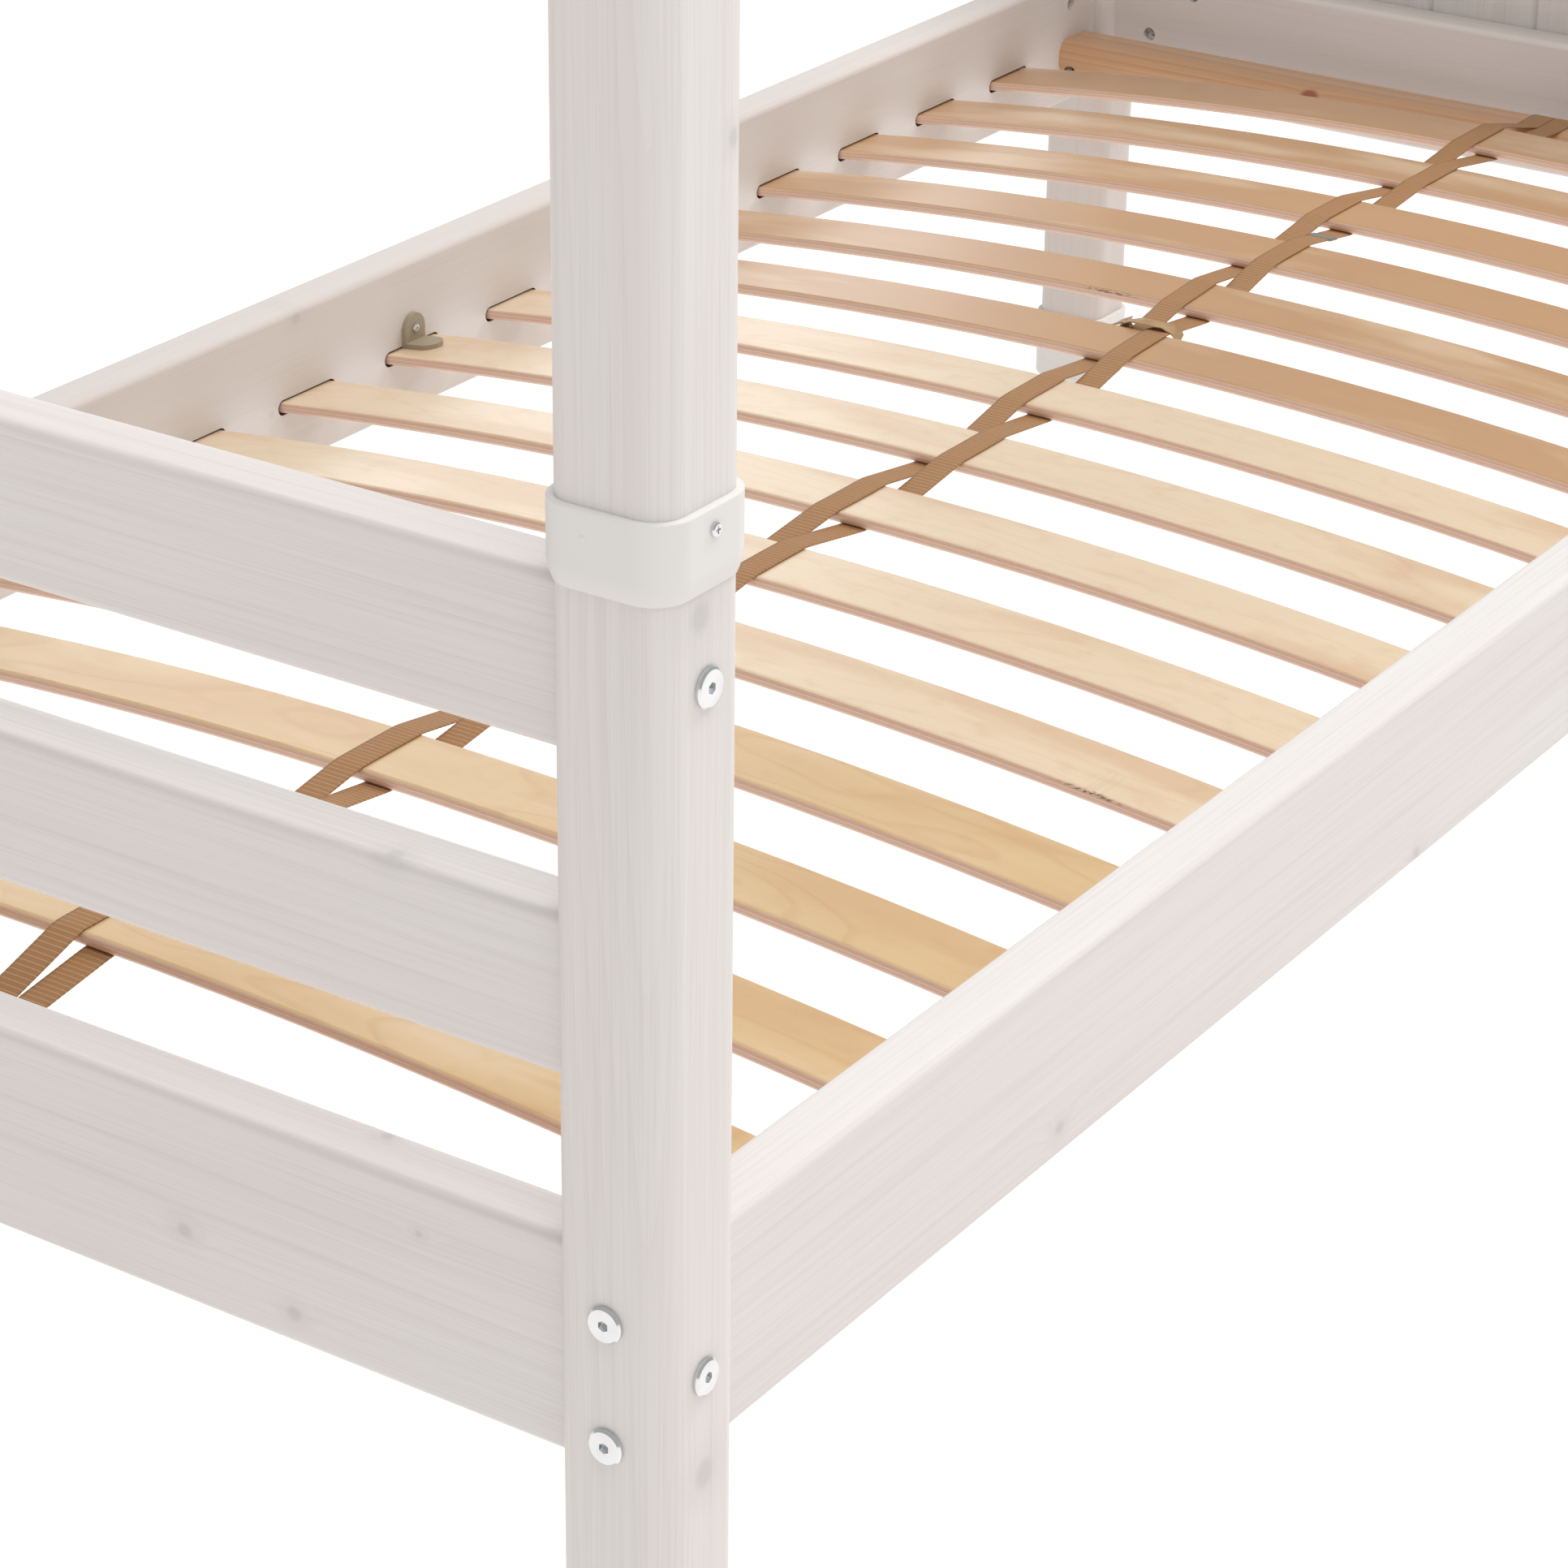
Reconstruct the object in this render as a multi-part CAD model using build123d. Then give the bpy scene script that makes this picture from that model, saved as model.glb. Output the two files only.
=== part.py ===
"""Tree house bed for one child, in pine, with a bowed slat base and a gabled roof frame.

Millimetres, +Z up. The origin is on the floor at the middle of the bed. The foot end is at -X
and the head end at +X. The near side is at -Y and the far side at +Y.
"""
from build123d import *
from math import ceil, cos, radians, sin, sqrt, tan
import os

# The mattress that the bed is made for, and the play round it inside the boards.
mattress_length = 2000
mattress_width = 900
play_in_length = 5
play_in_width = 8

# Timber sections.
post_side = 63
post_corner_radius = 15.5
board_thickness = 34
board_edge_radius = 5
rail_height = 115
plank_height = 81

# Heights of the boards above the floor, and the gaps between them.
clear_height_under_bed = 284
gap_over_bottom_plank = 83
gap_over_middle_plank = 79

# Plastic feet and post collars.
plastic_wall = 3.5
foot_cap_height = 65
foot_cap_floor = 4
foot_cap_edge_radius = 7
collar_height = 37.5
collar_taper_height = 10.5
collar_lip = 0.9
collar_gap_over_plank = 4
collar_joint_height = 21
collar_screw_above_joint = 6.5
plastic_rim_radius = 1

# Roof frame.
eaves_height = 1480
roof_pitch = 45
eaves_beam_drop = 30
ridge_beam_rise = 20

# Slats, bowed upwards, in blind slots in the side rails.
slat_count = 15
slat_gap_at_foot_bar = 44.5
slat_gap_at_head_bar = 58.5
slat_width = 59
slat_thickness = 8
slat_edge_radius = 3.3
slat_bow = 27
slat_seat_depth = 18
slot_end_play = 2.5
slot_side_play = 2
slot_height = 11.5
slot_floor_over_rail_bottom = 40.5

# Webbing that spaces the slats, and the bars that it is fixed to.
strap_width = 20
strap_thickness = 1.2
strap_gap = 0.5
strap_offset = -8
strap_fold_run = 5
strap_end_on_bar = 42
bar_width = 54
bar_height = 32
bar_edge_radius = 13
bar_top_over_rail_bottom = 60
bar_gap_to_plank = 20.5

# Clips that hold the middle slat.
clip_width = 23
clip_wall = 3.5
clip_tab_height = 24
clip_foot_length = 26
clip_screw_height = 13

# Connector bolts and their barrel nuts.
bolt_diameter = 6
bolt_hole_diameter = 7
bolt_head_diameter = 18.5
bolt_head_thickness = 2.6
bolt_head_bevel = 1
bolt_socket_across = 5
bolt_socket_depth = 3
bolt_reach_past_nut = 5
nut_diameter = 12
nut_length = 22
nut_slot_width = 1.6
nut_slot_depth = 1.5
nut_inset_in_rail = 42
nut_inset_in_plank = 35
rail_bolt_spread = 65
beam_bolt_spread = 50
spare_hole_inset = 77
spare_hole_rise = 42

# Wooden dowels and pins.
dowel_diameter = 8
dowel_length = 40
plank_dowel_spread = 50
bottom_plank_dowel_spread = 70
pin_diameter = 12
pin_length = 80
pin_end_play = 2
ridge_dowel_drop = 22

# Cladding on the outside of the head end.
panel_thickness = 12
panel_side_play = 0.5
panel_board_width = 98
panel_groove_width = 6
panel_groove_depth = 3

# Screws: small ones for collars and clips, long ones for the strap bars, short ones for the panel.
small_screw_diameter = 3.5
small_screw_length = 20
small_screw_head_diameter = 6.5
small_screw_head_thickness = 1.8
bar_screw_diameter = 4.5
bar_screw_length = 50
bar_screw_head_diameter = 8
bar_screw_head_thickness = 3
bar_screw_sink = 5
bar_screw_inset = 12
bar_screw_over_bar_bottom = 6.5
bar_screw_angle = 45
panel_screw_diameter = 4
panel_screw_length = 28
panel_screw_head_diameter = 8
panel_screw_columns = 4
panel_screw_edge = 60
cross_slot_width = 0.9
cross_slot_depth = 0.9
cross_slot_share_of_head = 0.55
screw_dome_share_of_head = 0.6

# Sizes that follow from these.
board_inset = (post_side - board_thickness) / 2
bed_length = mattress_length + play_in_length + 2 * (board_inset + board_thickness)
bed_width = mattress_width + play_in_width + 2 * (board_inset + board_thickness)
post_x = (bed_length - post_side) / 2
post_y = (bed_width - post_side) / 2
span_x = bed_length - 2 * post_side
span_y = bed_width - 2 * post_side
rail_inner_y = post_y - board_thickness / 2
plank_inner_x = post_x - board_thickness / 2

board_bottom = clear_height_under_bed
bottom_mid = board_bottom + rail_height / 2
middle_bottom = board_bottom + rail_height + gap_over_bottom_plank
top_bottom = middle_bottom + plank_height + gap_over_middle_plank
top_edge = top_bottom + plank_height
middle_mid = middle_bottom + plank_height / 2
top_mid = top_bottom + plank_height / 2

collar_bottom = top_edge + collar_gap_over_plank
post_joint = collar_bottom + collar_joint_height
plastic_side = post_side + 2 * plastic_wall
plastic_corner_radius = post_corner_radius + plastic_wall

roof_rise = post_y * tan(radians(roof_pitch))
ridge_height = eaves_height + roof_rise
eaves_beam_mid = eaves_height - eaves_beam_drop - plank_height / 2
ridge_beam_mid = ridge_height + ridge_beam_rise - plank_height / 2

slot_length = slat_width + 2 * slot_end_play
slot_depth = slat_seat_depth + slot_side_play
slot_floor = board_bottom + slot_floor_over_rail_bottom
bow_radius = (rail_inner_y ** 2 + slat_bow ** 2) / (2 * slat_bow)
slat_end_y = rail_inner_y + slat_seat_depth
bow_centre_z = slot_floor - sqrt(bow_radius ** 2 - slat_end_y ** 2)

bar_x = plank_inner_x - bar_gap_to_plank - bar_width / 2
bar_inner_x = bar_x - bar_width / 2
bar_top = board_bottom + bar_top_over_rail_bottom
bar_mid = bar_top - bar_height / 2

first_slat_x = -bar_inner_x + slat_gap_at_foot_bar + slat_width / 2
last_slat_x = bar_inner_x - slat_gap_at_head_bar - slat_width / 2
slat_pitch = (last_slat_x - first_slat_x) / (slat_count - 1)
slat_places = [first_slat_x + slat_pitch * i for i in range(slat_count)]

CORNERS = {"foot_near": (-1, -1), "foot_far": (-1, 1), "head_near": (1, -1), "head_far": (1, 1)}


def rod(start, direction, diameter, length):
    """A round bar from a point, along a direction."""
    plane = Plane(origin=start, z_dir=direction)
    return extrude(plane * Circle(diameter / 2), length)


def box_between(low, high):
    """A plain block between two opposite corners."""
    size = [b - a for a, b in zip(low, high)]
    middle = [(a + b) / 2 for a, b in zip(low, high)]
    return Pos(*middle) * Box(*size)


def post_stick(x, y, bottom, top):
    """A length of post timber standing on its end."""
    outline = Pos(x, y, bottom) * RectangleRounded(post_side, post_side, post_corner_radius)
    return extrude(outline, top - bottom)


def board_along_x(x0, x1, y, mid_z, height):
    """A board on edge, running along the bed, with its long edges rounded."""
    plane = Plane(origin=(x0, y, mid_z), x_dir=(0, 1, 0), z_dir=(1, 0, 0))
    return extrude(plane * RectangleRounded(board_thickness, height, board_edge_radius), x1 - x0)


def board_along_y(x, mid_z, height):
    """A board on edge, across the bed between two posts, with its long edges rounded."""
    plane = Plane(origin=(x, -span_y / 2, mid_z), x_dir=(1, 0, 0), z_dir=(0, 1, 0))
    return extrude(plane * RectangleRounded(board_thickness, height, board_edge_radius), span_y)


def bolt(face, direction, length):
    """A connector bolt: a flat disc head with a bevelled rim and a hexagon socket."""
    inwards = Vector(*direction)
    outwards = inwards * -1
    top = Vector(*face) + outwards * bolt_head_thickness
    head = rod(face, outwards, bolt_head_diameter, bolt_head_thickness)
    rim = head.edges().filter_by(GeomType.CIRCLE).sort_by(lambda e: (e.center() - top).length)[0]
    head = chamfer(rim, bolt_head_bevel)
    socket_face = Plane(origin=top, z_dir=inwards) * RegularPolygon(bolt_socket_across / sqrt(3), 6)
    return head + rod(face, inwards, bolt_diameter, length) - extrude(socket_face, bolt_socket_depth)


def barrel_nut(centre, axis, bolt_axis):
    """A barrel nut: its slotted end faces along axis, and the bolt screws across it."""
    axis = Vector(*axis)
    centre = Vector(*centre)
    start = centre - axis * (nut_length / 2)
    nut = rod(start, axis, nut_diameter, nut_length)
    tapped = rod(centre - Vector(*bolt_axis) * nut_diameter, bolt_axis, bolt_diameter, 2 * nut_diameter)
    plane = Plane(origin=centre + axis * (nut_length / 2), x_dir=bolt_axis, z_dir=axis * -1)
    slot = extrude(plane * Rectangle(2 * nut_diameter, nut_slot_width), nut_slot_depth)
    return nut - tapped - slot


def screw(face, direction, diameter, length, head_diameter, head_thickness):
    """A wood screw: a domed head on the face, a cross recess in it, and a plain shank."""
    inwards = Vector(*direction)
    top = Vector(*face) - inwards * head_thickness
    head = rod(face, inwards * -1, head_diameter, head_thickness)
    rim = head.edges().filter_by(GeomType.CIRCLE).sort_by(lambda e: (e.center() - top).length)[0]
    head = fillet(rim, head_thickness * screw_dome_share_of_head)
    recess_plane = Plane(origin=top, z_dir=inwards)
    across = head_diameter * cross_slot_share_of_head
    recess = extrude(recess_plane * Rectangle(across, cross_slot_width), cross_slot_depth)
    recess += extrude(recess_plane * Rectangle(cross_slot_width, across), cross_slot_depth)
    return head + rod(face, inwards, diameter, length) - recess


def slat_height(radius, y):
    """The height of an arc of the slats' bow at a distance from the bed's middle line."""
    return bow_centre_z + sqrt(radius ** 2 - y ** 2)


def bowed_strip(inner_radius, thickness, y0, y1, x, width):
    """A strip bent to the slats' bow, from y0 to y1, with its middle line at x."""
    outer_radius = inner_radius + thickness
    inner = [(y0, slat_height(inner_radius, y0)), (y1, slat_height(inner_radius, y1))]
    ends = [y0 * outer_radius / inner_radius, y1 * outer_radius / inner_radius]
    outer = [(y, slat_height(outer_radius, y)) for y in ends]
    middle = (y0 + y1) / 2
    plane = Plane(origin=(x - width / 2, 0, 0), x_dir=(0, 1, 0), z_dir=(1, 0, 0))
    low = ThreePointArc(inner[0], (middle, slat_height(inner_radius, middle)), inner[1])
    high = ThreePointArc(outer[0], (middle, slat_height(outer_radius, middle)), outer[1])
    sides = [Line(inner[0], outer[0]), Line(inner[1], outer[1])]
    return extrude(plane * make_face([low, high] + sides), width)


def every_bolt():
    """Each connector bolt: its face on the post, its direction, its nut and that nut's axis."""
    places = []
    half_spread = rail_bolt_spread / 2
    for sx in (-1, 1):
        for sy in (-1, 1):
            rail_levels = [bottom_mid - half_spread, bottom_mid + half_spread]
            beam_levels = [eaves_beam_mid - beam_bolt_spread / 2, eaves_beam_mid + beam_bolt_spread / 2]
            nut_x = sx * (span_x / 2 - nut_inset_in_rail)
            for z in rail_levels + beam_levels:
                places.append(("rail", (sx * bed_length / 2, sy * post_y, z), (-sx, 0, 0),
                               (nut_x, sy * post_y, z), (0, -sy, 0)))
            for z in (bottom_mid, top_mid):
                nut_y = sy * (span_y / 2 - nut_inset_in_plank)
                places.append(("plank", (sx * post_x, sy * bed_width / 2, z), (0, -sy, 0),
                               (sx * post_x, nut_y, z), (-sx, 0, 0)))
        nut_x = sx * (span_x / 2 - nut_inset_in_rail)
        places.append(("rail", (sx * bed_length / 2, 0, ridge_height), (-sx, 0, 0),
                       (nut_x, 0, ridge_height), (0, -1, 0)))
    return places


def bolt_length(kind):
    """A bolt reaches through the post and a little past the middle of its nut."""
    inset = nut_inset_in_rail if kind == "rail" else nut_inset_in_plank
    return post_side + inset + bolt_reach_past_nut


def bolt_cuts():
    """The holes that all bolts and nuts need in the timber. A nut's hole is open at the board's face."""
    cuts = []
    for kind, face, direction, nut, axis in every_bolt():
        cuts.append(rod(face, direction, bolt_hole_diameter, bolt_length(kind) + nut_diameter))
        bore_floor = Vector(*nut) - Vector(*axis) * (nut_length / 2)
        cuts.append(rod(bore_floor, axis, nut_diameter, (nut_length + board_thickness) / 2))
    return cuts


def every_dowel():
    """Each small dowel: its middle and its direction."""
    places = []
    for sx in (-1, 1):
        for sy in (-1, 1):
            half_spread = bottom_plank_dowel_spread / 2
            levels = [bottom_mid - half_spread, bottom_mid + half_spread]
            for mid in (middle_mid, top_mid):
                levels += [mid - plank_dowel_spread / 2, mid + plank_dowel_spread / 2]
            places += [((sx * post_x, sy * span_y / 2, z), (0, 1, 0)) for z in levels]
            places.append(((sx * span_x / 2, sy * post_y, bottom_mid), (1, 0, 0)))
            places.append(((sx * span_x / 2, sy * post_y, eaves_beam_mid), (1, 0, 0)))
            places.append(((sx * bar_x, sy * rail_inner_y, bar_mid), (0, 1, 0)))
        places.append(((sx * post_x, 0, ridge_height - ridge_dowel_drop), (0, 1, 0)))
    return places


def centred_rod(middle, direction, diameter, length):
    """A round bar with its middle at a point."""
    start = Vector(*middle) - Vector(*direction) * (length / 2)
    return rod(start, direction, diameter, length)


def every_pin():
    """Each large pin: its middle and its direction, in the post joints and the eaves mitres."""
    lean = radians(roof_pitch / 2)
    places = []
    for sx, sy in CORNERS.values():
        places.append(((sx * post_x, sy * post_y, post_joint), (0, 0, 1)))
        places.append(((sx * post_x, sy * post_y, eaves_height), (0, -sy * sin(lean), cos(lean))))
    return places


def every_small_screw():
    """Each collar screw and clip screw: its face and its direction."""
    places = []
    for sx, sy in CORNERS.values():
        z = post_joint + collar_screw_above_joint
        places.append(((sx * post_x, sy * (bed_width / 2 + plastic_wall), z), (0, -sy, 0)))
    for sy in (-1, 1):
        z = clip_bottom() + clip_screw_height
        places.append(((middle_slat_x(), sy * (rail_inner_y - clip_wall), z), (0, sy, 0)))
    return places


def every_bar_screw():
    """Each slanting screw from a strap bar into a side rail: its head's face and its direction."""
    angle = radians(bar_screw_angle)
    places = []
    for sx, sy in CORNERS.values():
        entry = Vector(sx * bar_inner_x, sy * (rail_inner_y - bar_screw_inset),
                       bar_top - bar_height + bar_screw_over_bar_bottom)
        direction = Vector(sx * sin(angle), sy * cos(angle), 0)
        places.append((entry + direction * bar_screw_sink, direction))
    return places


def every_panel_screw():
    """Each short screw that holds the head cladding to the planks."""
    width = span_y - 2 * panel_screw_edge
    face_x = post_x + board_thickness / 2 + panel_thickness
    places = []
    for z in (bottom_mid, middle_mid, top_mid):
        for i in range(panel_screw_columns):
            y = -width / 2 + width * i / (panel_screw_columns - 1)
            places.append(((face_x, y, z), (-1, 0, 0)))
    return places


def middle_slat_x():
    """Where the middle slat lies, which the clips hold."""
    return slat_places[slat_count // 2]


def clip_bottom():
    """The height of the slat's top at the inner side of the clip's tab, on which the clip stands."""
    return slat_height(bow_radius + slat_thickness, rail_inner_y - clip_wall)


def timber_cuts():
    """All round holes that the timber pieces share."""
    cuts = bolt_cuts()
    cuts += [centred_rod(m, d, dowel_diameter, dowel_length) for m, d in every_dowel()]
    cuts += [centred_rod(m, d, pin_diameter, pin_length + pin_end_play) for m, d in every_pin()]
    cuts += [rod(f, d, small_screw_diameter, small_screw_length) for f, d in every_small_screw()]
    for face, direction in every_bar_screw():
        outside = face - direction * (bar_screw_sink + bar_screw_head_diameter)
        reach = bar_screw_sink + bar_screw_head_diameter
        cuts.append(rod(outside, direction, bar_screw_head_diameter, reach))
        cuts.append(rod(face, direction, bar_screw_diameter, bar_screw_length))
    cuts += [rod(f, d, panel_screw_diameter, panel_screw_length) for f, d in every_panel_screw()]
    return cuts


def overlaps(a, b):
    """Whether two bounding boxes meet."""
    low_a, high_a, low_b, high_b = a.min, a.max, b.min, b.max
    return (low_a.X <= high_b.X and low_b.X <= high_a.X and low_a.Y <= high_b.Y
            and low_b.Y <= high_a.Y and low_a.Z <= high_b.Z and low_b.Z <= high_a.Z)


def drilled(timber, cuts):
    """The timber with every hole that reaches it."""
    bounds = timber.bounding_box()
    for hole, hole_bounds in cuts:
        if overlaps(bounds, hole_bounds):
            timber -= hole
    return timber


def lower_posts():
    """Four posts from the foot caps to the joints inside the collars."""
    return {"post_" + name: post_stick(sx * post_x, sy * post_y, foot_cap_floor, post_joint)
            for name, (sx, sy) in CORNERS.items()}


def mitre_plane(sx, sy):
    """The plane where an upper post meets its rafter."""
    lean = radians(roof_pitch / 2)
    return Plane(origin=(sx * post_x, sy * post_y, eaves_height), z_dir=(0, -sy * sin(lean), cos(lean)))


def upper_posts():
    """Four posts from the collars to the eaves, mitred for the rafters."""
    pieces = {}
    for name, (sx, sy) in CORNERS.items():
        stick = post_stick(sx * post_x, sy * post_y, post_joint, eaves_height + post_side)
        pieces["upper_post_" + name] = split(stick, mitre_plane(sx, sy), keep=Keep.BOTTOM)
    return pieces


def rafters():
    """Four rafters of post timber, mitred at the eaves and cut plumb at the ridge."""
    pitch = radians(roof_pitch)
    length = roof_rise / sin(pitch)
    pieces = {}
    for name, (sx, sy) in CORNERS.items():
        along = Vector(0, -sy * cos(pitch), sin(pitch))
        start = Vector(sx * post_x, sy * post_y, eaves_height) - along * post_side
        plane = Plane(origin=start, x_dir=(1, 0, 0), z_dir=along)
        outline = plane * RectangleRounded(post_side, post_side, post_corner_radius)
        stick = extrude(outline, length + 2 * post_side)
        stick = split(stick, mitre_plane(sx, sy), keep=Keep.TOP)
        ridge_plane = Plane(origin=(sx * post_x, 0, ridge_height), z_dir=(0, sy, 0))
        pieces["rafter_" + name] = split(stick, ridge_plane, keep=Keep.TOP)
    return pieces


def foot_caps():
    """Four plastic feet, each a cup that the post stands in."""
    pieces = {}
    outline = RectangleRounded(plastic_side, plastic_side, plastic_corner_radius)
    cap = extrude(outline, foot_cap_height)
    cap = fillet(cap.edges().group_by(Axis.Z)[0], foot_cap_edge_radius)
    cap = fillet(cap.edges().group_by(Axis.Z)[-1], plastic_rim_radius)
    cap -= post_stick(0, 0, foot_cap_floor, foot_cap_height)
    for name, (sx, sy) in CORNERS.items():
        pieces["foot_cap_" + name] = Pos(sx * post_x, sy * post_y, 0) * cap
    return pieces


def collars():
    """Four plastic sleeves over the post joints, straight above and drawn in to a thin lip below."""
    steps = 4
    rings = []
    for i in range(steps):
        part = i / (steps - 1)
        wall = collar_lip + (plastic_wall - collar_lip) * sin(radians(90 * part))
        side = post_side + 2 * wall
        ring = RectangleRounded(side, side, post_corner_radius + wall)
        rings.append(Pos(0, 0, collar_taper_height * part) * ring)
    taper = loft(rings)
    body = extrude(rings[-1], collar_height - collar_taper_height)
    body = fillet(body.edges().group_by(Axis.Z)[-1], plastic_rim_radius)
    sleeve = taper + body - post_stick(0, 0, 0, collar_height)
    pieces = {}
    for name, (sx, sy) in CORNERS.items():
        placed = Pos(sx * post_x, sy * post_y, collar_bottom) * sleeve
        pieces["collar_" + name] = placed
    return pieces


def end_planks():
    """Three planks across each end, between the posts."""
    pieces = {}
    for end, sx in (("foot", -1), ("head", 1)):
        x = sx * post_x
        pieces[end + "_plank_bottom"] = board_along_y(x, bottom_mid, rail_height)
        pieces[end + "_plank_middle"] = board_along_y(x, middle_mid, plank_height)
        pieces[end + "_plank_top"] = board_along_y(x, top_mid, plank_height)
    for sy in (-1, 1):
        y = sy * (span_y / 2 - spare_hole_inset)
        start = (plank_inner_x, y, bottom_mid + spare_hole_rise)
        hole = rod(start, (1, 0, 0), nut_diameter, nut_length)
        pieces["head_plank_bottom"] -= hole
    return pieces


def head_panel():
    """Upright cladding on the outside of the head planks, with a V groove at each board's edge."""
    x = post_x + board_thickness / 2
    half = span_y / 2 - panel_side_play
    panel = box_between((x, -half, board_bottom), (x + panel_thickness, half, top_edge))
    groove_count = ceil(2 * half / panel_board_width) - 1
    height = top_edge - board_bottom
    for i in range(groove_count):
        y = (i - (groove_count - 1) / 2) * panel_board_width
        for face_x, inwards in ((x, 1), (x + panel_thickness, -1)):
            plane = Plane(origin=(face_x, y, board_bottom), x_dir=(0, 1, 0), z_dir=(0, 0, 1))
            tip = (0, -panel_groove_depth * inwards)
            groove = Polyline((-panel_groove_width / 2, 0), tip, (panel_groove_width / 2, 0), close=True)
            panel -= extrude(plane * make_face(groove), height)
    return {"head_panel": panel}


def slat_slot(x, sy):
    """A blind slot with round ends in the inner face of a side rail."""
    face = (x, sy * rail_inner_y, slot_floor + slot_height / 2)
    plane = Plane(origin=face, x_dir=(1, 0, 0), z_dir=(0, sy, 0))
    return extrude(plane * SlotOverall(slot_length, slot_height), slot_depth)


def side_rails():
    """The two long boards, each with a row of slots for the slats."""
    pieces = {}
    for side, sy in (("near", -1), ("far", 1)):
        rail = board_along_x(-span_x / 2, span_x / 2, sy * post_y, bottom_mid, rail_height)
        for x in slat_places:
            rail -= slat_slot(x, sy)
        pieces["side_rail_" + side] = rail
    return pieces


def roof_beams():
    """Two eaves beams and the ridge beam, along the bed."""
    ends = (-span_x / 2, span_x / 2)
    return {
        "eaves_beam_near": board_along_x(*ends, -post_y, eaves_beam_mid, plank_height),
        "eaves_beam_far": board_along_x(*ends, post_y, eaves_beam_mid, plank_height),
        "ridge_beam": board_along_x(*ends, 0, ridge_beam_mid, plank_height),
    }


def slats():
    """Bowed slats with rounded long edges."""
    pieces = {}
    for i, x in enumerate(slat_places):
        slat = bowed_strip(bow_radius, slat_thickness, -slat_end_y, slat_end_y, x, slat_width)
        long_edges = [e for e in slat.edges() if e.geom_type == GeomType.CIRCLE]
        pieces[f"slat_{i + 1:02d}"] = fillet(long_edges, slat_edge_radius)
    return pieces


def strap_bars():
    """Round-edged bars across the bed at both ends of the slats."""
    pieces = {}
    for end, sx in (("foot", -1), ("head", 1)):
        plane = Plane(origin=(sx * bar_x, -rail_inner_y, bar_mid), x_dir=(1, 0, 0), z_dir=(0, 1, 0))
        outline = plane * RectangleRounded(bar_width, bar_height, bar_edge_radius)
        pieces["strap_bar_" + end] = extrude(outline, 2 * rail_inner_y)
    return pieces


def strap(side):
    """One ribbon that runs over and under the slats in turn, and lies on both bars."""
    y = strap_offset + side * (strap_width + strap_gap) / 2
    near_edge = max(abs(y) - strap_width / 2, 0)
    far_edge = abs(y) + strap_width / 2
    over = slat_height(bow_radius + slat_thickness, near_edge) + strap_thickness / 2
    under = slat_height(bow_radius, far_edge) - strap_thickness / 2
    on_bar = bar_top + strap_thickness / 2
    half = slat_width / 2 + strap_fold_run
    bar_end = bar_inner_x + strap_end_on_bar
    bar_start = bar_inner_x + bar_edge_radius
    middle = [(-bar_end, on_bar), (-bar_start, on_bar)]
    for i, x in enumerate(slat_places):
        level = over if (i % 2 == 0) == (side > 0) else under
        middle += [(x - half, level), (x + half, level)]
    middle += [(bar_start, on_bar), (bar_end, on_bar)]
    upper = [(x, z + strap_thickness / 2) for x, z in middle]
    lower = [(x, z - strap_thickness / 2) for x, z in reversed(middle)]
    plane = Plane(origin=(0, y + strap_width / 2, 0), x_dir=(1, 0, 0), z_dir=(0, -1, 0))
    return extrude(plane * make_face(Polyline(*upper, *lower, close=True)), strap_width)


def slat_clips():
    """Two plastic clips, each with a tab screwed to a rail and a foot on the middle slat."""
    x = middle_slat_x()
    base = clip_bottom()
    clips = []
    for sy in (-1, 1):
        wall_y = sy * rail_inner_y
        top_radius = clip_width / 2
        plane = Plane(origin=(x, wall_y, base), x_dir=(sy, 0, 0), z_dir=(0, -sy, 0))
        straight = clip_tab_height - top_radius
        tab_outline = Pos(0, straight) * Circle(top_radius)
        tab_outline += Pos(0, straight / 2) * Rectangle(clip_width, straight)
        tab = extrude(plane * tab_outline, clip_wall)
        y0 = wall_y - sy * clip_foot_length
        ends = sorted((y0, wall_y))
        foot = bowed_strip(bow_radius + slat_thickness, clip_wall, *ends, x, clip_width)
        reach = clip_foot_length - top_radius
        plan = Pos(x, wall_y - sy * reach) * Circle(top_radius)
        plan += Pos(x, wall_y - sy * reach / 2) * Rectangle(clip_width, reach)
        column = extrude(Pos(0, 0, base - clip_tab_height) * plan, 2 * clip_tab_height)
        clips.append(tab + (foot & column))
    return clips


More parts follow.
